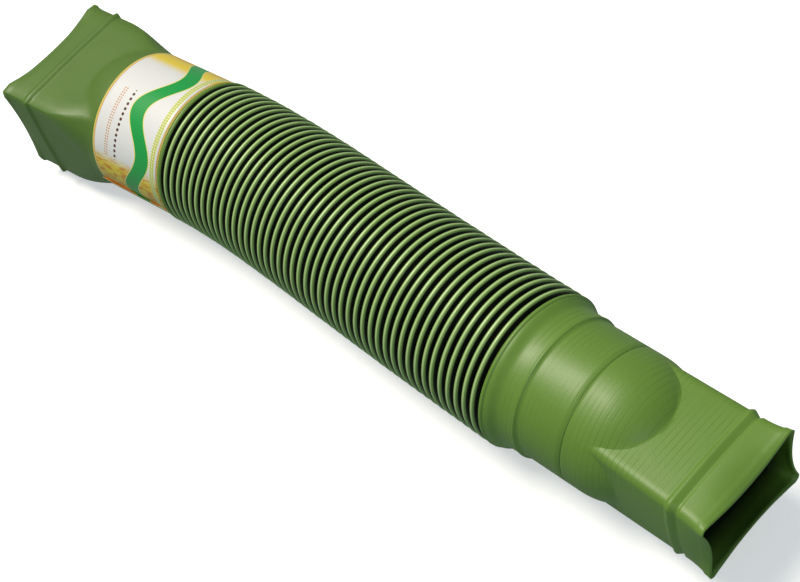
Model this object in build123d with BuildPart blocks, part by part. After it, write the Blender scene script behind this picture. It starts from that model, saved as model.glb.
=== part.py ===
from build123d import *

import os
from math import cos, hypot, radians, sin

# Flexible downspout extension: one blow-moulded polyethylene tube, and the label wrapped round its neck.
# The tube lies on the ground with its length along X. The inlet, at -X, takes a 3 x 4 inch downspout,
# and the outlet, at +X, is of 2 x 3 inch size. Sizes are in millimetres.

# Wall of the moulding
wall = 1.3

# Folds of the bellows
fold_count = 47
fold_pitch = 7.57
crest_radius = 58.3
root_radius = 50.0

# Line that the bellows lies along, seen from above
middle_bow = 6.5
inlet_shift = 8.7
inlet_turn = 4.9
outlet_turn = 1.2

# Round neck of the outlet, measured outwards from the last root of the bellows
shoulder_radius = 57.6
shoulder_start = 1.8
shoulder_flat = 4.0
shoulder_end = 10.5
shoulder_round = 1.7
collar_radius = 52.8
collar_length = 19.0
collar_round = 3.0
step_width = 1.6
step_round = 0.5
band_radius = 51.3
parting_at = 58.3
parting_width = 0.9
parting_depth = 0.5
outlet_dome_at = 68.7

# Rectangular end of the outlet
outlet_root_width = 81.5
outlet_root_height = 69.0
outlet_width = 88.0
outlet_height = 55.5
outlet_corner = 6.6
outlet_bead_at = 142.0
outlet_mouth_at = 169.7
outlet_dip_flat = 4.5
outlet_dip_side = 2.8
outlet_flare = 1.6
outlet_groove = 1.1

# Round neck of the inlet, measured outwards from the first root of the bellows
neck_radius = 56.3
neck_start = 2.2
neck_round = 1.5
inlet_dome_at = 73.0

# Rectangular end of the inlet
inlet_width = 107.5
inlet_height = 82.4
inlet_corner = 4.5
inlet_bead_at = 140.3
inlet_mouth_at = 168.8
inlet_dip_flat = 8.0
inlet_dip_side = 4.5
inlet_flare = 2.2
inlet_groove = 0.5

# Cone that draws the inlet's corners in to its neck
corner_cone_start = 81.0
corner_cone_end = 116.0
corner_cone_round = 8.0
corner_sink = 0.4

# Beads and mouths of both ends
bead_width = 7.5
bead_crown = 2.6
bead_height = 1.6
groove_width = 4.5
curl_length = 19.0
curl_steps = 4
lip_corner = 3.6

# Label round the inlet neck
label_start = 4.0
label_width = 73.7
label_thickness = 0.3
label_clearance = 0.15
label_seam_angle = 336.0
label_overlap = 14.0

# The tube's centre line, from the outlet's end of the bellows to the inlet's
bellows_span = fold_count * fold_pitch
with BuildLine() as centre_line:
    Spline(
        (0, 0, crest_radius),
        (-bellows_span / 2, middle_bow, crest_radius),
        (-bellows_span, inlet_shift, crest_radius),
        tangents=(
            (-cos(radians(outlet_turn)), sin(radians(outlet_turn))),
            (-cos(radians(inlet_turn)), -sin(radians(inlet_turn))),
        ),
    )
centre = centre_line.edge()

# Frames of the two ends: local Z runs out of the mouth, local Y is up
outlet_frame = Plane(origin=centre @ 0, x_dir=(0, 1, 0), z_dir=(1, 0, 0))
inlet_frame = Plane(
    origin=centre @ 1,
    x_dir=(sin(radians(inlet_turn)), -cos(radians(inlet_turn)), 0),
    z_dir=centre % 1,
)

# The wall leans steeply on the folds, so it is thicker when measured along the radius
fold_inset = wall * hypot(fold_pitch / 2, crest_radius - root_radius) / (fold_pitch / 2)


def bellows(inset):
    """Ruled surfaces between circles, with a crest halfway between each two roots."""
    with BuildPart() as folds:
        for half_fold in range(2 * fold_count + 1):
            along = half_fold / (2 * fold_count) * centre.length
            across = Plane(
                origin=centre.position_at(along, position_mode=PositionMode.LENGTH),
                x_dir=(0, 0, 1),
                z_dir=centre.tangent_at(along, position_mode=PositionMode.LENGTH),
            )
            with BuildSketch(across):
                Circle((crest_radius if half_fold % 2 else root_radius) - inset)
        loft(ruled=True)
    return folds.part


def turned(frame, path):
    """Solid turned about a frame's Z from a path of (radius, distance, rounding)."""
    with BuildPart() as body:
        with BuildSketch(Plane(frame.origin, x_dir=frame.x_dir, z_dir=-frame.y_dir)):
            with BuildLine():
                points = [(radius, along) for radius, along, _ in path]
                outline = FilletPolyline(*points, radius=[rounding for _, _, rounding in path[1:-1]])
                Polyline(outline @ 1, (0, points[-1][1]), (0, points[0][1]), outline @ 0)
            make_face()
        revolve(axis=Axis(frame.origin, frame.z_dir))
    return body.part


def side(start, end, dip, inward):
    """One side of a rectangular section, straight or bowed inwards by the dip."""
    if dip == 0:
        Line(start, end)
    else:
        middle = ((start[0] + end[0]) / 2 + inward[0] * dip, (start[1] + end[1]) / 2 + inward[1] * dip)
        ThreePointArc(start, middle, end)


def section(plane, half_width, half_height, corner, dip_flat, dip_side):
    """Rounded rectangle whose sides may bow inwards between its corners."""
    straight_x, straight_y = half_width - corner, half_height - corner
    diagonal = corner * cos(radians(45))
    with BuildSketch(plane) as outline:
        with BuildLine():
            for x, y in ((1, 1), (-1, 1), (-1, -1), (1, -1)):
                ThreePointArc(
                    (x * half_width, y * straight_y),
                    (x * (straight_x + diagonal), y * (straight_y + diagonal)),
                    (x * straight_x, y * half_height),
                )
            side((straight_x, half_height), (-straight_x, half_height), dip_flat, (0, -1))
            side((-half_width, straight_y), (-half_width, -straight_y), dip_side, (1, 0))
            side((-straight_x, -half_height), (straight_x, -half_height), dip_flat, (0, 1))
            side((half_width, -straight_y), (half_width, straight_y), dip_side, (-1, 0))
        make_face()
    return outline.sketch


def end_stations(root_at, bead_at, mouth_at, groove_depth):
    """(distance, outward swell, share of the mouth's curl) along a rectangular end."""
    bead_end = bead_at + bead_width / 2
    stations = [
        (root_at, 0, 0),
        (bead_at - bead_width / 2, 0, 0),
        (bead_at - bead_crown / 2, bead_height, 0),
        (bead_at + bead_crown / 2, bead_height, 0),
        (bead_end, 0, 0),
        (bead_end + groove_width / 2, -groove_depth, 0),
        (bead_end + groove_width, 0, 0),
    ]
    for step in range(1, curl_steps + 1):
        share = step / curl_steps
        stations.append((mouth_at - (1 - share) * curl_length, 0, share**2))
    return stations


def rectangular_end(frame, stations, root_size, mouth_size, corner, flare, dips, inset):
    """Loft between rounded rectangles, from inside the neck to the mouth."""
    root_at, mouth_at = stations[0][0], stations[-1][0]
    with BuildPart() as end:
        for along, swell, curl in stations:
            share = (along - root_at) / (mouth_at - root_at)
            grow = swell + flare * curl - inset
            width, height = (root + share * (mouth - root) for root, mouth in zip(root_size, mouth_size))
            rounding = corner + curl * (lip_corner - corner) - inset
            dip_flat, dip_side = ((dip + flare) * curl for dip in dips)
            add(section(frame.offset(along), width / 2 + grow, height / 2 + grow, rounding, dip_flat, dip_side))
        loft(ruled=True)
    return end.part


def outlet_neck(inset):
    """Shoulder, collar, step and band of the outlet, closed by a dome inside the flattened end."""
    path = [
        (root_radius - inset, 0, 0),
        (shoulder_radius - inset, shoulder_start, shoulder_round),
        (shoulder_radius - inset, shoulder_flat, shoulder_round),
        (collar_radius - inset, shoulder_end, collar_round),
        (collar_radius - inset, collar_length, step_round),
        (band_radius - inset, collar_length + step_width, step_round),
        (band_radius - inset, outlet_dome_at, 0),
    ]
    with BuildPart() as neck:
        add(turned(outlet_frame, path))
        with Locations(outlet_frame.offset(outlet_dome_at)):
            Sphere(band_radius - inset)
    return neck.part


outlet_stations = end_stations(outlet_dome_at, outlet_bead_at, outlet_mouth_at, outlet_groove)
inlet_stations = end_stations(inlet_dome_at, inlet_bead_at, inlet_mouth_at, inlet_groove)


def outlet_end(inset):
    """The outlet's flattened end."""
    return rectangular_end(
        outlet_frame,
        outlet_stations,
        (outlet_root_width, outlet_root_height),
        (outlet_width, outlet_height),
        outlet_corner,
        outlet_flare,
        (outlet_dip_flat, outlet_dip_side),
        inset,
    )


def inlet_neck(inset):
    """Straight round neck under the label, closed by a dome inside the rectangular end."""
    path = [
        (root_radius - inset, 0, 0),
        (neck_radius - inset, neck_start, neck_round),
        (neck_radius - inset, inlet_dome_at, 0),
    ]
    with BuildPart() as neck:
        add(turned(inlet_frame, path))
        with Locations(inlet_frame.offset(inlet_dome_at)):
            Sphere(neck_radius - inset)
    return neck.part


def inlet_end(inset):
    """The inlet's rectangular end, with its corners coned down to the round neck."""
    cone = [
        (neck_radius - corner_sink - inset, inlet_dome_at, 0),
        (neck_radius - corner_sink - inset, corner_cone_start, corner_cone_round),
        (hypot(inlet_width, inlet_height) / 2 - inset, corner_cone_end, corner_cone_round),
        (hypot(inlet_width, inlet_height) / 2 + inlet_flare, inlet_mouth_at, 0),
    ]
    with BuildPart() as end:
        add(
            rectangular_end(
                inlet_frame,
                inlet_stations,
                (inlet_width, inlet_height),
                (inlet_width, inlet_height),
                inlet_corner,
                inlet_flare,
                (inlet_dip_flat, inlet_dip_side),
                inset,
            )
        )
        add(turned(inlet_frame, cone), mode=Mode.INTERSECT)
    return end.part


with BuildPart() as tube:
    add(bellows(0))
    add(outlet_neck(0))
    add(outlet_end(0))
    add(inlet_neck(0))
    add(inlet_end(0))
    with BuildSketch(Plane(outlet_frame.origin, x_dir=outlet_frame.x_dir, z_dir=-outlet_frame.y_dir)):
        with Locations((band_radius, parting_at)):
            Rectangle(2 * parting_depth, parting_width)
    revolve(axis=Axis(outlet_frame.origin, outlet_frame.z_dir), mode=Mode.SUBTRACT)
    add(bellows(fold_inset), mode=Mode.SUBTRACT)
    for hollow in (outlet_neck(wall), outlet_end(wall), inlet_neck(wall), inlet_end(wall)):
        add(hollow, mode=Mode.SUBTRACT)

# The label is one turn of film, a little proud of the neck, and its end laps over its start
label_radius = neck_radius + label_clearance
with BuildPart() as label:
    with BuildSketch(inlet_frame.offset(neck_start + label_start)):
        Circle(label_radius + label_thickness)
        Circle(label_radius, mode=Mode.SUBTRACT)
        with BuildLine():
            under = CenterArc((0, 0), label_radius + label_thickness, label_seam_angle, label_overlap)
            over = CenterArc((0, 0), label_radius + 2 * label_thickness, label_seam_angle, label_overlap)
            Line(under @ 0, over @ 0)
            Line(under @ 1, over @ 1)
        make_face()
    extrude(amount=label_width)

# The origin is on the ground, under the middle of the tube's box
box = tube.part.bounding_box()
to_ground = Location((-box.center().X, -box.center().Y, -box.min.Z))
tube.part.move(to_ground)
label.part.move(to_ground)

tube.part.label = "tube"
label.part.label = "label"
os.makedirs("parts", exist_ok=True)
export_step(tube.part, "parts/tube.step")
export_step(label.part, "parts/label.step")
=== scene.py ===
from math import acos, asin, atan2, cos, degrees, hypot, pi, radians, sin, sqrt
from random import Random

import bmesh
import bpy
from mathutils import Euler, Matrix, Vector


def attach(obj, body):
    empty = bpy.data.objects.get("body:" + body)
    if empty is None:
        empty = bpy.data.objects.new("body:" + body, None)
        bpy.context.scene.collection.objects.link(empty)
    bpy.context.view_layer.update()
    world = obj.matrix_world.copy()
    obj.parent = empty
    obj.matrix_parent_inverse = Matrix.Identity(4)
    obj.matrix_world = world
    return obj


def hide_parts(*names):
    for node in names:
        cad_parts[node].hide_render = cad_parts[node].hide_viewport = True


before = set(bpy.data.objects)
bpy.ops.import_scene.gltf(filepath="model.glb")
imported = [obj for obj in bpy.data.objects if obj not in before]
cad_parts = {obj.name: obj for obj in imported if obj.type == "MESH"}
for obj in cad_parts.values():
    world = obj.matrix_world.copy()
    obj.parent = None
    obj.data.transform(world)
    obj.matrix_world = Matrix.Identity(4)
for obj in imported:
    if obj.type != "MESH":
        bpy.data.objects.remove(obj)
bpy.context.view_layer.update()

# The camera stands at the outlet's end, above and to the tube's -Y side, and is rolled a little.
# Its place and its long lens come from a fit to the photograph's crests and box corners.
camera = bpy.data.objects.new("camera", bpy.data.cameras.new("camera"))
camera.data.sensor_width = 36
camera.data.lens = 78.75
camera.data.clip_end = 20
camera.location = (0.7351, -0.4039, 1.0064)
camera.rotation_euler = Euler((radians(38.02), radians(13.202), radians(43.834)))
bpy.context.collection.objects.link(camera)
bpy.context.scene.camera = camera

# The tube is one blow-moulded piece of olive-green polyethylene, open from mouth to mouth. Its skin
# is a profile spun about the X axis. The rings of the two ends are then pushed out to rounded
# rectangles, and all of it is bent to the tube's line. Sizes are in millimetres.
mm = 0.001
wall = 1.3
fold_count = 47
fold_pitch = 7.57
bellows_span = fold_count * fold_pitch
crest_radius, root_radius = 58.3, 50.0
inner_crest_radius, inner_root_radius = 55.1, 46.9

# Both ends are measured outwards from the bellows. Their rectangles run evenly from root, where the
# dome starts, to mouth, as half width and half height. Ridges and lip are (height, place, width).
# At the mouth the faces bow in by the dips, top first, over the length of the curl.
ends = {
    "outlet": {
        "length": 169.7, "dome_at": 68.7, "neck": 51.3,
        "root": (40.75, 34.5), "mouth": (44.0, 27.75),
        "ridges": ((1.3, 141.7, 7.4), (-0.9, 147.0, 4.8)), "lip": (0.5, 165.6, 3.6),
        "corner": 6.6, "rim_corner": 4.5, "crown": 1.5, "crease": 0.3,
        "curl": 19.0, "flare": 1.8, "dips": (4.5, 2.8),
    },
    "inlet": {
        "length": 168.8, "dome_at": 68.0, "neck": 56.3,
        "root": (54.3, 41.8), "mouth": (54.3, 41.8),
        "ridges": ((1.8, 141.2, 8.6),), "lip": (0.6, 165.8, 5.0),
        "corner": 4.5, "rim_corner": 6.5, "crown": 0.6, "crease": 1.6,
        "curl": 13.0, "flare": 1.6, "dips": (6.6, 0.8),
        "cone_radius": 55.9, "cone_at": 79, "cone_slope": 0.362, "cone_blend": 14,
        "corner_blend": 6.0,
    },
}

# The tube's line lies level. Its offsets to +Y and their slopes are given at even places along the
# bellows, from the outlet's end to the inlet's.
outlet_root = Vector((179.526, -3.86, 58.30))
line_knots = [(0, 0.0210), (2.58, 0.0370), (6.5, 0.0504), (10.44, 0.0265), (8.7, -0.0857)]
knot_gap = bellows_span / (len(line_knots) - 1)


def tube_frame(along):
    """Centre of the tube and its two directions across, at a distance from the outlet's root."""
    out = min(max(-along, 0), bellows_span)
    knot = min(int(out / knot_gap), len(line_knots) - 2)
    share = out / knot_gap - knot
    (start, start_slope), (end, end_slope) = line_knots[knot : knot + 2]
    offset = start * (1 + 2 * share) * (1 - share) ** 2 + end * share**2 * (3 - 2 * share)
    bend = start_slope * share * (1 - share) ** 2 - end_slope * share**2 * (1 - share)
    offset += bend * knot_gap
    slope = (end - start) * (6 * share * (1 - share) / knot_gap)
    slope += start_slope * (1 - share) * (1 - 3 * share) + end_slope * share * (3 * share - 2)
    outwards = Vector((-1, slope if along < 0 else 0, 0)).normalized()
    centre = outlet_root + Vector((max(along, 0) - out, offset, 0))
    if along < -bellows_span:
        centre += outwards * (-along - bellows_span)
    return centre, Vector((outwards.y, -outwards.x, 0)), Vector((0, 0, 1))


def bump(height, centre, width, value):
    """Rounded ridge, as high as told at its centre and 0 past half its width."""
    off = abs(value - centre) / (width / 2)
    return height * (0.5 + 0.5 * cos(pi * off)) if off < 1 else 0


def soft_max(first, second, blend):
    """The larger of two radii, with a small fillet where they cross."""
    near = max(blend - abs(first - second), 0) / blend
    return max(first, second) + near * near * blend / 4


def half_size(end, out):
    """Half width and half height of an end's rectangle before its ridges and curl."""
    shape = ends[end]
    share = (out - shape["dome_at"]) / (shape["length"] - shape["dome_at"])
    return [root + share * (mouth - root) for root, mouth in zip(shape["root"], shape["mouth"])]


def rounded_rectangle(angle, half_width, half_height, corner, dip_top, dip_side):
    """Radius in a direction of a rounded rectangle whose sides are bowed inwards by the dips."""
    across, up = abs(cos(angle)), abs(sin(angle))
    flat_x, flat_y = half_width - corner, half_height - corner
    if up * flat_x >= across * half_height:
        low = half_height - dip_top
        bow = 4 * low * dip_top * (across / flat_x) ** 2
        return 2 * low / (up + sqrt(max(up * up - bow, 0)))
    if across * flat_y >= up * half_width:
        low = half_width - dip_side
        bow = 4 * low * dip_side * (up / flat_y) ** 2
        return 2 * low / (across + sqrt(max(across * across - bow, 0)))
    middle = across * flat_x + up * flat_y
    reach = middle * middle - flat_x * flat_x - flat_y * flat_y + corner * corner
    return middle + sqrt(max(reach, 0))


def core_radius(end, out):
    """Radius of the round form that a rectangle meets: the outlet's dome or the inlet's cone."""
    shape = ends[end]
    if end == "inlet":
        grown = soft_max(out - shape["cone_at"], 0, shape["cone_blend"]) * shape["cone_slope"]
        return shape["cone_radius"] + grown
    return sqrt(max(shape["neck"] ** 2 - max(out - shape["dome_at"], 0) ** 2, 1))


dome_margin = 2
inner_corner = 0.8


def end_radius(end, out, angle, inset):
    """Radius of an end's skin, at a distance out from the bellows' root and in a direction."""
    shape = ends[end]
    past = out - shape["dome_at"]
    neck = shape["neck"] - inset
    if past < -dome_margin:
        return neck
    dome = sqrt(max(neck * neck - max(past, 0) ** 2, 1))
    curl = max((out - shape["length"] + shape["curl"]) / shape["curl"], 0) ** 2
    grow = sum(bump(*ridge, out) for ridge in shape["ridges"]) + shape["flare"] * curl - inset
    if inset == 0:
        grow += bump(*shape["lip"], out)
    half_width, half_height = half_size(end, out)
    corner = shape["corner"] * (1 - curl) + shape["rim_corner"] * curl - inset * inner_corner
    dips = [(dip + shape["flare"]) * curl - shape["crown"] * (1 - curl) for dip in shape["dips"]]
    box = rounded_rectangle(angle, half_width + grow, half_height + grow, corner, *dips)
    if end == "inlet":
        box = -soft_max(-box, inset - core_radius(end, out), shape["corner_blend"])
    return soft_max(dome, box, shape["crease"])


def spread(*stretches):
    """Evenly spaced distances over each stretch of (start, stop, step), without its last."""
    places = []
    for start, stop, step in stretches:
        count = max(round(abs(stop - start) / step), 1)
        places += [start + (stop - start) * number / count for number in range(count)]
    return places


# The outside's profile is (distance, radius, depth in a fold), from the inlet's rim to the
# outlet's. The rings lie closest at the ridges. The folds differ a little in spacing and height,
# and the outer flanks of the two end folds are left out, where the necks begin.
inlet_rim, inlet_neck = ends["inlet"]["length"], ends["inlet"]["neck"]
outlet_rim, outlet_neck = ends["outlet"]["length"], ends["outlet"]["neck"]
inlet_out = spread(
    (inlet_rim, 150.5, 1.6), (150.5, 135.5, 0.9), (135.5, 128, 2.5), (128, 66, 1.5), (66, -1.2, 9)
)
outer = [(-bellows_span - out, inlet_neck, 0) for out in inlet_out]
outer += [
    (-bellows_span + off, radius, 0) for off, radius in ((1.3, 56.3), (1.9, 56.7), (2.3, 57.5))
]
fold_luck = Random(4)
fold_profile = [
    (-3.785, root_radius - crest_radius), (-2.5, -7.3), (-1.97, -1.75), (-1.3, -0.48),
    (0, 0), (1.3, -0.48), (1.97, -1.75), (2.5, -7.3),
]
full_depth = 1.9
for fold in range(fold_count):
    middle = -bellows_span + (fold + 0.5) * fold_pitch + fold_luck.uniform(-0.12, 0.12)
    tip = crest_radius - fold_luck.uniform(0, 0.15)
    for number, (off, drop) in enumerate(fold_profile):
        if (fold > 0 or number > 2) and (fold < fold_count - 1 or number < 5):
            outer.append((middle + off, tip + drop, -drop / full_depth))

# The outlet's shoulder, collar and band, its parting line, and its dome and rectangle
outer += [
    (-3.0, 58.1, 0), (-2.5, 57.7, 0), (-2.2, 57.15, 0.6), (-1.8, 57.05, 0.55), (-1.2, 57.0, 0),
]
outer += [(along, radius, 0) for along, radius in (
    (0, 56.5), (1.2, 55.9), (2.6, 55.05), (4.0, 54.25), (5.4, 53.6), (6.8, 53.2), (8.6, 52.95),
    (12.0, 52.8), (17.4, 52.75), (18.7, 52.95), (19.4, 53.2), (20.1, 52.95), (20.8, 52.1),
    (21.5, 51.55), (23.0, 51.3),
)]
outer += [(out, outlet_neck, 0) for out in spread((27, 57.6, 5))]
outer += [
    (57.7, 51.3, 0), (58.05, 50.8, 0.6), (58.3, 50.6, 0.75), (58.55, 50.8, 0.6), (58.9, 51.3, 0),
]
outlet_out = spread(
    (60.5, 66, 2.8), (66, 108, 1.2), (108, 136.5, 2.9), (136.5, 151, 0.9), (151, outlet_rim, 1.6)
)
outer += [(out, outlet_neck, 0) for out in outlet_out + [outlet_rim]]

# The inside's profile, as (distance, radius), runs back from the outlet's rim to the inlet's.
inner = [(out, outlet_neck - wall) for out in spread((outlet_rim, 66, 3.2), (66, 24, 14))]
inner += [(19, 51.4), (7.0, 51.6), (-0.6, 55.6), (-2.6, 55.8)]
for fold in reversed(range(fold_count)):
    middle = -bellows_span + (fold + 0.5) * fold_pitch
    inner += [(middle, inner_crest_radius), (middle - fold_pitch / 2, inner_root_radius)]
inner[-1] = (-bellows_span + 2.4, 55.0)
inlet_out = spread((0, 64, 11), (64, inlet_rim, 3.2)) + [inlet_rim]
inner += [(-bellows_span - out, inlet_neck - wall) for out in inlet_out]

skin = [(along, radius, depth, 0) for along, radius, depth in outer]
skin += [(along, radius, 0, 1) for along, radius in inner]
columns = 120
tube_mesh = bmesh.new()
along_mark = tube_mesh.verts.layers.float.new("along")
inside_mark = tube_mesh.verts.layers.float.new("inside")
depth_mark = tube_mesh.verts.layers.float.new("fold_depth")
loop = []
for along, radius, depth, inside in skin:
    vertex = tube_mesh.verts.new((along, radius, 0))
    vertex[along_mark], vertex[inside_mark], vertex[depth_mark] = along, inside, depth
    loop.append(vertex)
for first, second in zip(loop, loop[1:] + loop[:1]):
    tube_mesh.edges.new((first, second))
bmesh.ops.spin(
    tube_mesh,
    geom=tube_mesh.verts[:] + tube_mesh.edges[:],
    cent=(0, 0, 0),
    axis=(1, 0, 0),
    angle=2 * pi,
    steps=columns,
    use_merge=True,
)

# A quarter of a ring has ten steps before its first crease and ten after its second. Between them
# it has its corner, with four steps to each side, which span 8 degrees at most and end short of the
# creases. The outlet's creases are sharp along its dome.
quarter = columns // 4
crease_steps, corner_steps = 10, 4
crease_gap, corner_span, corner_share = 0.4, 8, 0.9
crease_from, crease_to = 72, 106
shaped_from = 62


def column_angles(end, out):
    """Directions of a quarter's columns, in degrees."""
    low, high, corner_at = 26.0, 50.0, 36.0
    if out > ends[end]["dome_at"]:
        half_width, half_height = half_size(end, out)
        core, corner = core_radius(end, out), ends[end]["corner"]
        corner_at = degrees(atan2(half_height - corner, half_width - corner))
        if core > half_width:
            low = min(degrees(acos(half_width / core)), corner_at - crease_gap)
        if core > half_height:
            high = max(degrees(asin(half_height / core)), corner_at + crease_gap)
    below = min(corner_span, corner_share * (corner_at - low))
    above = min(corner_span, corner_share * (high - corner_at))
    side, corner_side = range(crease_steps + 1), range(corner_steps + 1)
    angles = [low * number / crease_steps for number in side]
    angles += [corner_at - below * number / corner_steps for number in reversed(corner_side[1:])]
    angles += [corner_at + above * number / corner_steps for number in corner_side]
    return angles + [high + (90 - high) * number / crease_steps for number in side]


rings = {}
crease_column = {}
for vertex in tube_mesh.verts:
    along, radius = vertex[along_mark], hypot(vertex.co.y, vertex.co.z)
    end, out = ("outlet", along) if along > 0 else ("inlet", -bellows_span - along)
    if along not in rings:
        rings[along] = tube_frame(along), column_angles(end, out)
    (centre, across, up), angles = rings[along]
    column = round(degrees(atan2(vertex.co.z, vertex.co.y)) / (360 / columns)) % columns
    turn, part = divmod(column, quarter)
    if turn % 2:
        angle = radians(90 * (turn + 1) - angles[quarter - part])
    else:
        angle = radians(90 * turn + angles[part])
    if out > shaped_from:
        radius = end_radius(end, out, angle, wall * vertex[inside_mark])
    on_crease = part in (crease_steps, quarter - crease_steps) and vertex[inside_mark] == 0
    if on_crease and end == "outlet" and crease_from < out < crease_to:
        crease_column[vertex] = column
    vertex.co = (centre + across * (radius * cos(angle)) + up * (radius * sin(angle))) * mm

bmesh.ops.recalc_face_normals(tube_mesh, faces=tube_mesh.faces[:])
for face in tube_mesh.faces:
    face.smooth = True
for edge in tube_mesh.edges:
    first, second = (crease_column.get(vertex) for vertex in edge.verts)
    if first is not None and first == second:
        edge.smooth = False


def mesh_object(name, mesh):
    """A new object in the scene, made of a bmesh, which is freed."""
    data = bpy.data.meshes.new(name)
    mesh.to_mesh(data)
    mesh.free()
    made = bpy.data.objects.new(name, data)
    bpy.context.collection.objects.link(made)
    return made


tube = mesh_object("tube_skin", tube_mesh)


def linear(hex_colour):
    """An sRGB hex colour as Blender's linear RGBA."""
    parts = [int(hex_colour[place : place + 2], 16) / 255 for place in (1, 3, 5)]
    lit = [part / 12.92 if part <= 0.04045 else ((part + 0.055) / 1.055) ** 2.4 for part in parts]
    return lit + [1]


def empty_tree(owner):
    """The node tree of a material or a world, emptied."""
    owner.use_nodes = True
    owner.node_tree.nodes.clear()
    return owner.node_tree


def add(tree, kind, settings=None, inputs=None):
    """Adds a node, with its settings, and its inputs as values or as links from other nodes."""
    node = tree.nodes.new(kind)
    for name, value in (settings or {}).items():
        setattr(node, name, value)
    for name, value in (inputs or {}).items():
        if isinstance(value, bpy.types.NodeSocket):
            tree.links.new(value, node.inputs[name])
        else:
            node.inputs[name].default_value = value
    return node


# Blow-moulded polyethylene: a waxy half-gloss, with a mottle 42 mm across and a grain of 1.4 mm.
# The turned mould leaves fine rings on both ends. Painted shade darkens the inlet end, a painted
# highlight makes the crests paler, and painted shade darkens the depths of the folds and the
# inside.
polyethylene = bpy.data.materials.new("blow_moulded_olive_polyethylene")
tree = empty_tree(polyethylene)
along = add(tree, "ShaderNodeAttribute", {"attribute_name": "along"}).outputs["Fac"]
depth = add(tree, "ShaderNodeAttribute", {"attribute_name": "fold_depth"}).outputs["Fac"]
inside = add(tree, "ShaderNodeAttribute", {"attribute_name": "inside"}).outputs["Fac"]
coords = add(tree, "ShaderNodeTexCoord").outputs["Object"]
mottle = add(
    tree, "ShaderNodeTexNoise", {}, {"Vector": coords, "Scale": 24.0, "Detail": 4.0}
).outputs["Fac"]
grain = add(
    tree, "ShaderNodeTexNoise", {}, {"Vector": coords, "Scale": 700.0, "Detail": 2.0}
).outputs["Fac"]

# Places along the tube
from_middle = add(
    tree, "ShaderNodeMath", {"operation": "ADD"}, {0: along, 1: bellows_span / 2}
).outputs[0]
off_middle = add(tree, "ShaderNodeMath", {"operation": "ABSOLUTE"}, {0: from_middle}).outputs[0]
at_inlet = add(
    tree, "ShaderNodeMath", {"operation": "LESS_THAN"}, {0: along, 1: -bellows_span / 2}
).outputs[0]
on_end = add(
    tree, "ShaderNodeMath", {"operation": "GREATER_THAN"}, {0: off_middle, 1: bellows_span / 2 + 9}
).outputs[0]
on_folds = add(
    tree, "ShaderNodeMath", {"operation": "LESS_THAN"}, {0: off_middle, 1: bellows_span / 2 - 6}
).outputs[0]
bead_at, bead_width = ends["outlet"]["ridges"][0][1:]
before_bead = add(
    tree, "ShaderNodeMath", {"operation": "LESS_THAN"}, {0: along, 1: bead_at - bead_width / 2}
).outputs[0]

# The rings are 4.1 mm apart on the outlet, up to its bead, and 3 mm on the inlet. The mottle breaks
# them up.
ring_lines = []
for gap, line in ((4.1, 1.5), (3.0, 1.4)):
    saw = add(tree, "ShaderNodeMath", {"operation": "PINGPONG"}, {0: along, 1: gap / 2}).outputs[0]
    lines = add(
        tree,
        "ShaderNodeMapRange",
        {"interpolation_type": "SMOOTHSTEP"},
        {"Value": saw, "From Min": (gap - line) / 2, "From Max": gap / 2},
    )
    ring_lines.append(lines.outputs[0])
ring_mark = add(
    tree, "ShaderNodeMix", {}, {0: at_inlet, 2: ring_lines[0], 3: ring_lines[1]}
).outputs[0]
patches = add(
    tree,
    "ShaderNodeMapRange",
    {},
    {"Value": mottle, "From Min": 0.42, "From Max": 0.62, "To Min": 0.15},
).outputs[0]
for share in (on_end, patches, before_bead):
    ring_mark = add(
        tree, "ShaderNodeMath", {"operation": "MULTIPLY"}, {0: ring_mark, 1: share}
    ).outputs[0]
ring_tint = add(
    tree, "ShaderNodeMath", {"operation": "MULTIPLY"}, {0: ring_mark, 1: 0.28}
).outputs[0]

# Painted shade on the inlet end, a painted highlight on the crests, and painted shade in the
# depths of the folds and on the inside, which begins 9 mm in and is full at 20 mm
inlet_painted_shade = add(
    tree,
    "ShaderNodeMapRange",
    {},
    {"Value": along, "From Min": -352.0, "From Max": -362.0, "To Max": 0.42},
).outputs[0]
# Painted highlight: the crests are painted paler, standing in for the highlights along them
crest = add(
    tree,
    "ShaderNodeMapRange",
    {},
    {"Value": depth, "From Min": 0.02, "From Max": 0.24, "To Min": 1.0, "To Max": 0.12},
).outputs[0]
crest_painted_highlight = add(
    tree, "ShaderNodeMath", {"operation": "MULTIPLY"}, {0: on_folds, 1: crest}
).outputs[0]
# Painted shade: the depths of the folds are painted near black
fold_painted_shade = add(
    tree, "ShaderNodeMapRange", {}, {"Value": depth, "From Min": 0.5, "From Max": 0.92}
).outputs[0]
# Painted shade: the inside is painted near black, from 9 mm past the mouths and fully at 20 mm
mouth_at = bellows_span / 2 + outlet_rim
past_mouth = add(
    tree,
    "ShaderNodeMapRange",
    {},
    {"Value": off_middle, "From Min": mouth_at - 9, "From Max": mouth_at - 20, "To Max": 0.95},
).outputs[0]
inside_painted_shade = add(
    tree, "ShaderNodeMath", {"operation": "MULTIPLY"}, {0: inside, 1: past_mouth}
).outputs[0]

plastic = add(
    tree,
    "ShaderNodeMix",
    {"data_type": "RGBA"},
    {0: mottle, 6: linear("#64882A"), 7: linear("#719637")},
).outputs[2]
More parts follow.
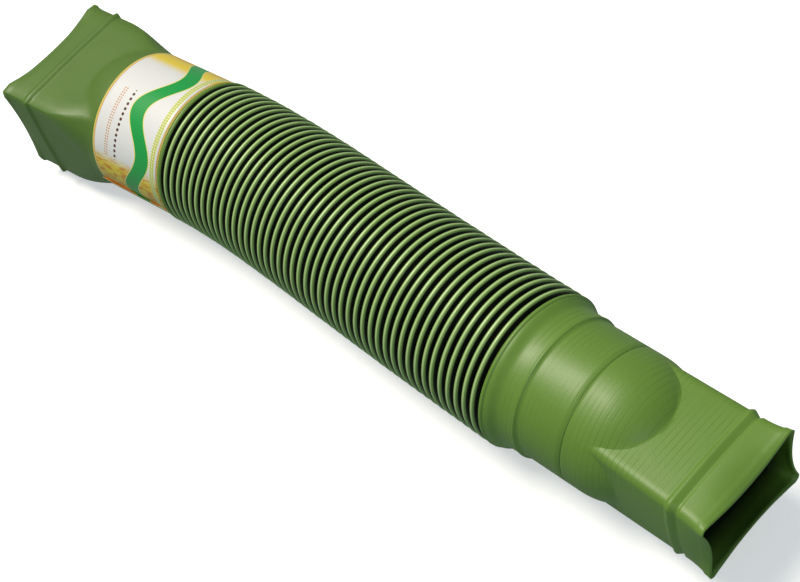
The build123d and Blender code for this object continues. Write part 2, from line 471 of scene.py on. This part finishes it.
# These mixes paint shade on the inlet end, in the depths of the folds and inside, and a highlight
# on the crests
for share, hex_colour in (
    (inlet_painted_shade, "#304A0C"),
    (ring_tint, "#42620C"),
    (crest_painted_highlight, "#BEDA93"),
    (fold_painted_shade, "#090F04"),
    (inside_painted_shade, "#060A03"),
):
    plastic = add(
        tree, "ShaderNodeMix", {"data_type": "RGBA"}, {0: share, 6: plastic, 7: linear(hex_colour)}
    ).outputs[2]
relief = add(
    tree, "ShaderNodeMath", {"operation": "MULTIPLY_ADD"}, {0: ring_mark, 1: -2.6, 2: grain}
).outputs[0]
surface = add(
    tree, "ShaderNodeBump", {}, {"Strength": 0.18, "Distance": 0.0003, "Height": relief}
).outputs["Normal"]
gloss = add(
    tree,
    "ShaderNodeMapRange",
    {},
    {"Value": mottle, "From Min": 0.3, "From Max": 0.7, "To Min": 0.43, "To Max": 0.51},
).outputs[0]
crest_gloss = add(
    tree, "ShaderNodeMath", {"operation": "MULTIPLY_ADD"}, {0: crest_painted_highlight, 1: -0.14, 2: gloss}
).outputs[0]
shader = add(
    tree,
    "ShaderNodeBsdfPrincipled",
    {},
    {
        "Base Color": plastic,
        "Roughness": crest_gloss,
        "IOR": 1.51,
        "Specular IOR Level": 0.64,
        "Normal": surface,
    },
)
add(tree, "ShaderNodeOutputMaterial", {}, {"Surface": shader.outputs["BSDF"]})
tube.data.materials.append(polyethylene)
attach(tube, "root")
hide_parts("tube")

# The label is a strip of printed polypropylene film, wrapped once round the inlet's neck. It is
# stuck to itself low on the -Y side. Its slightly ragged end laps 14 degrees over its start there,
# stands off a little and runs 1.6 mm askew.
label_start, label_width = -1.0, 73.5
label_radius, label_thickness = 56.45, 0.3
label_turn, seam_angle = 374.0, 204.0
lap_from, lap_gap, end_lift, end_skew = 358, 0.05, 0.7, 1.6
label_mesh = bmesh.new()
label_mesh.loops.layers.uv.new("UVMap")
bmesh.ops.create_grid(label_mesh, x_segments=187, y_segments=14, size=0.5, calc_uvs=True)
torn = Random(7)
for vertex in label_mesh.verts:
    turn_share, width_share = vertex.co.x + 0.5, vertex.co.y + 0.5
    turn = turn_share * label_turn
    out = label_start + width_share * label_width
    lap = max(turn - 360, 0) / (label_turn - 360)
    if turn_share > 0.999:
        turn += torn.uniform(-0.7, 0.5)
    rise = label_thickness + lap_gap if turn > lap_from else 0
    radius = label_radius + rise + end_lift * lap**3
    centre, across, up = tube_frame(-bellows_span - out - end_skew * lap * width_share)
    angle = radians(seam_angle - turn)
    vertex.co = (centre + across * (radius * cos(angle)) + up * (radius * sin(angle))) * mm
for face in label_mesh.faces:
    face.smooth = True
label = mesh_object("label_film", label_mesh)
film = label.modifiers.new("film", "SOLIDIFY")
film.thickness = label_thickness * mm
film.offset = 1

# Printed polypropylene film: flat bright inks under a smooth half-gloss. The front is off-white and
# turns yellow and orange round the sides. A plain ribbed green wave, rows of dots and edge lines
# are printed on it, placed by degrees round the neck and by millimetres across the strip.
print_film = bpy.data.materials.new("printed_polypropylene_film")
tree = empty_tree(print_film)
strip = add(tree, "ShaderNodeUVMap", {"uv_map": "UVMap"}).outputs["UV"]
shares = add(tree, "ShaderNodeSeparateXYZ", {}, {0: strip}).outputs
turn = add(
    tree, "ShaderNodeMath", {"operation": "MULTIPLY"}, {0: shares[0], 1: label_turn}
).outputs[0]
across = add(
    tree, "ShaderNodeMath", {"operation": "MULTIPLY"}, {0: shares[1], 1: label_width}
).outputs[0]
place = add(tree, "ShaderNodeCombineXYZ", {}, {0: turn, 1: across}).outputs[0]

# The ground turns yellow and then orange to both sides of the front, which is at 92 degrees.
from_front = add(tree, "ShaderNodeMath", {"operation": "SUBTRACT"}, {0: turn, 1: 92.0}).outputs[0]
round_side = add(tree, "ShaderNodeMath", {"operation": "ABSOLUTE"}, {0: from_front}).outputs[0]
yellowing = add(
    tree,
    "ShaderNodeMapRange",
    {"interpolation_type": "SMOOTHSTEP"},
    {"Value": round_side, "From Min": 43.0, "From Max": 56.0},
).outputs[0]
reddening = add(
    tree,
    "ShaderNodeMapRange",
    {"interpolation_type": "SMOOTHSTEP"},
    {"Value": round_side, "From Min": 62.0, "From Max": 86.0},
).outputs[0]

# Straw specks lie on the near yellow, drawn out across the strip.
speck_stretch = 0.22
speck_across = add(
    tree, "ShaderNodeMath", {"operation": "MULTIPLY"}, {0: across, 1: speck_stretch}
).outputs[0]
speck_place = add(tree, "ShaderNodeCombineXYZ", {}, {0: turn, 1: speck_across}).outputs[0]
specks = add(
    tree, "ShaderNodeTexNoise", {}, {"Vector": speck_place, "Scale": 0.5, "Detail": 2.0}
).outputs["Fac"]
speck_ink = add(
    tree,
    "ShaderNodeMapRange",
    {},
    {"Value": specks, "From Min": 0.5, "From Max": 0.56, "To Max": 0.85},
).outputs[0]
near_side = add(tree, "ShaderNodeMath", {"operation": "LESS_THAN"}, {0: turn, 1: 60.0}).outputs[0]
near_yellow = add(
    tree, "ShaderNodeMath", {"operation": "MULTIPLY"}, {0: near_side, 1: yellowing}
).outputs[0]
straw = add(
    tree, "ShaderNodeMath", {"operation": "MULTIPLY"}, {0: speck_ink, 1: near_yellow}
).outputs[0]

# The wave runs five times up and down, with a pale edge and a rib every 2.2 degrees.
wave_count, wave_height, wave_at = 5, 9.0, 27.0
wave_turn = add(
    tree,
    "ShaderNodeMath",
    {"operation": "MULTIPLY"},
    {0: turn, 1: 2 * pi * wave_count / label_turn},
).outputs[0]
wave = add(tree, "ShaderNodeMath", {"operation": "SINE"}, {0: wave_turn}).outputs[0]
wave_line = add(
    tree, "ShaderNodeMath", {"operation": "MULTIPLY_ADD"}, {0: wave, 1: wave_height, 2: wave_at}
).outputs[0]
wave_off = add(
    tree, "ShaderNodeMath", {"operation": "SUBTRACT"}, {0: across, 1: wave_line}
).outputs[0]
wave_edge, band = (
    add(
        tree, "ShaderNodeMath", {"operation": "COMPARE"}, {0: wave_off, 1: 0.0, 2: half_width}
    ).outputs[0]
    for half_width in (8.2, 7.2)
)
rib_saw = add(tree, "ShaderNodeMath", {"operation": "PINGPONG"}, {0: turn, 1: 1.1}).outputs[0]
rib = add(
    tree,
    "ShaderNodeMapRange",
    {},
    {"Value": rib_saw, "From Min": 0.6, "From Max": 1.1, "To Max": 0.5},
).outputs[0]
ribs = add(tree, "ShaderNodeMath", {"operation": "MULTIPLY"}, {0: rib, 1: band}).outputs[0]

# Dots are 4.4 and 2.2 apart: a row of large ones and two rows of small ones on the front, and pale
# small ones on the line at the foot.
dots = []
for gap in (4.4, 2.2):
    cells = add(
        tree,
        "ShaderNodeTexVoronoi",
        {"voronoi_dimensions": "2D"},
        {"Vector": place, "Scale": 1 / gap, "Randomness": 0.0},
    ).outputs["Distance"]
    dots.append(
        add(tree, "ShaderNodeMath", {"operation": "LESS_THAN"}, {0: cells, 1: 0.3}).outputs[0]
    )
large_dot, small_dot = dots
front = add(
    tree, "ShaderNodeMath", {"operation": "COMPARE"}, {0: turn, 1: 75.0, 2: 30.0}
).outputs[0]
large_row, small_rows, foot = (
    add(
        tree, "ShaderNodeMath", {"operation": "COMPARE"}, {0: across, 1: row_at, 2: half_width}
    ).outputs[0]
    for row_at, half_width in ((48.4, 2.2), (58.3, 2.2), (6.6, 2.6))
)
large_ink, small_ink, foot_ink = (
    add(tree, "ShaderNodeMath", {"operation": "MULTIPLY"}, {0: dot, 1: row}).outputs[0]
    for dot, row in ((large_dot, large_row), (small_dot, small_rows), (small_dot, foot))
)
large_ink, small_ink = (
    add(tree, "ShaderNodeMath", {"operation": "MULTIPLY"}, {0: rows, 1: front}).outputs[0]
    for rows in (large_ink, small_ink)
)

# A line and a paler rim run along both edges.
edge_off = add(
    tree, "ShaderNodeMath", {"operation": "SUBTRACT"}, {0: across, 1: label_width / 2}
).outputs[0]
from_edge = add(tree, "ShaderNodeMath", {"operation": "ABSOLUTE"}, {0: edge_off}).outputs[0]
edge_line, edge_rim = (
    add(
        tree,
        "ShaderNodeMath",
        {"operation": "GREATER_THAN"},
        {0: from_edge, 1: label_width / 2 - line},
    ).outputs[0]
    for line in (2.0, 1.1)
)

ink = linear("#ECEAEA")
for share, hex_colour in (
    (yellowing, "#FBDA3C"),
    (reddening, "#F5A83C"),
    (straw, "#E08A1E"),
    (wave_edge, "#F3E58A"),
    (band, "#1EA54A"),
    (ribs, "#13813A"),
    (large_ink, "#5A3417"),
    (small_ink, "#D78A3A"),
    (foot, "#C6CF5E"),
    (foot_ink, "#F6F2D6"),
    (edge_line, "#E8A647"),
    (edge_rim, "#F6E27A"),
):
    ink = add(
        tree, "ShaderNodeMix", {"data_type": "RGBA"}, {0: share, 6: ink, 7: linear(hex_colour)}
    ).outputs[2]
shader = add(
    tree, "ShaderNodeBsdfPrincipled", {}, {"Base Color": ink, "Roughness": 0.34, "IOR": 1.49}
)
add(tree, "ShaderNodeOutputMaterial", {}, {"Surface": shader.outputs["BSDF"]})
label.data.materials.append(print_film)
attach(label, "root")
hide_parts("label")

# Soft studio light: a wide softbox high over the inlet's end and the -Y side, a weak low one before
# the outlet, and a pale world around. Directions are from the origin, and sizes are in metres.
softbox_distance = 4.5
for name, direction, energy, hex_colour, size, size_y in (
    ("key_softbox", (-0.32, -0.14, 0.9), 190, "#FFF7E8", 2.2, 1.6),
    ("fill_softbox", (0.86, -0.3, 0.36), 24, "#E4F0FF", 1.8, 1.8),
):
    softbox = bpy.data.objects.new(name, bpy.data.lights.new(name, "AREA"))
    softbox.data.energy = energy
    softbox.data.color = linear(hex_colour)[:3]
    softbox.data.shape = "RECTANGLE"
    softbox.data.size = size
    softbox.data.size_y = size_y
    towards = Vector(direction).normalized()
    softbox.location = towards * softbox_distance
    softbox.rotation_euler = towards.to_track_quat("Z", "Y").to_euler()
    bpy.context.collection.objects.link(softbox)


def white_share(tree, in_gloss):
    """1 where the camera or a clear piece sees the background, and a part of it in reflections."""
    path = add(tree, "ShaderNodeLightPath").outputs
    seen = add(
        tree,
        "ShaderNodeMath",
        {"operation": "ADD"},
        {0: path["Is Camera Ray"], 1: path["Is Transmission Ray"]},
    ).outputs[0]
    return add(
        tree,
        "ShaderNodeMath",
        {"operation": "MULTIPLY_ADD"},
        {0: path["Is Glossy Ray"], 1: in_gloss, 2: seen},
    ).outputs[0]


world = bpy.data.worlds.new("studio")
bpy.context.scene.world = world
tree = empty_tree(world)
light = add(tree, "ShaderNodeBackground", {}, {"Color": linear("#C2E2F0"), "Strength": 0.24})
white = add(tree, "ShaderNodeBackground", {}, {"Color": linear("#FFFFFF"), "Strength": 1.0})
mix = add(
    tree,
    "ShaderNodeMixShader",
    {},
    {0: white_share(tree, 0.12), 1: light.outputs[0], 2: white.outputs[0]},
)
add(tree, "ShaderNodeOutputWorld", {}, {"Surface": mix.outputs[0]})

# The floor is a white paper sweep, 8 m square, which keeps the tube's soft shadow. It throws less
# light back at the tube than it shows to the camera.
floor_mesh = bmesh.new()
bmesh.ops.create_grid(floor_mesh, x_segments=1, y_segments=1, size=4)
floor = mesh_object("floor", floor_mesh)
paper = bpy.data.materials.new("white_paper_sweep")
tree = empty_tree(paper)
catch = add(tree, "ShaderNodeBsdfDiffuse", {}, {"Color": linear("#EBEBEB")})
glow = add(tree, "ShaderNodeEmission", {}, {"Color": linear("#FFFFFF"), "Strength": 0.5})
bright = add(tree, "ShaderNodeAddShader", {}, {0: catch.outputs[0], 1: glow.outputs[0]})
dull = add(tree, "ShaderNodeBsdfDiffuse", {}, {"Color": linear("#668078")})
mix = add(
    tree,
    "ShaderNodeMixShader",
    {},
    {0: white_share(tree, 0.16), 1: dull.outputs[0], 2: bright.outputs[0]},
)
add(tree, "ShaderNodeOutputMaterial", {}, {"Surface": mix.outputs[0]})
floor.data.materials.append(paper)

bpy.context.scene.view_settings.view_transform = "Standard"
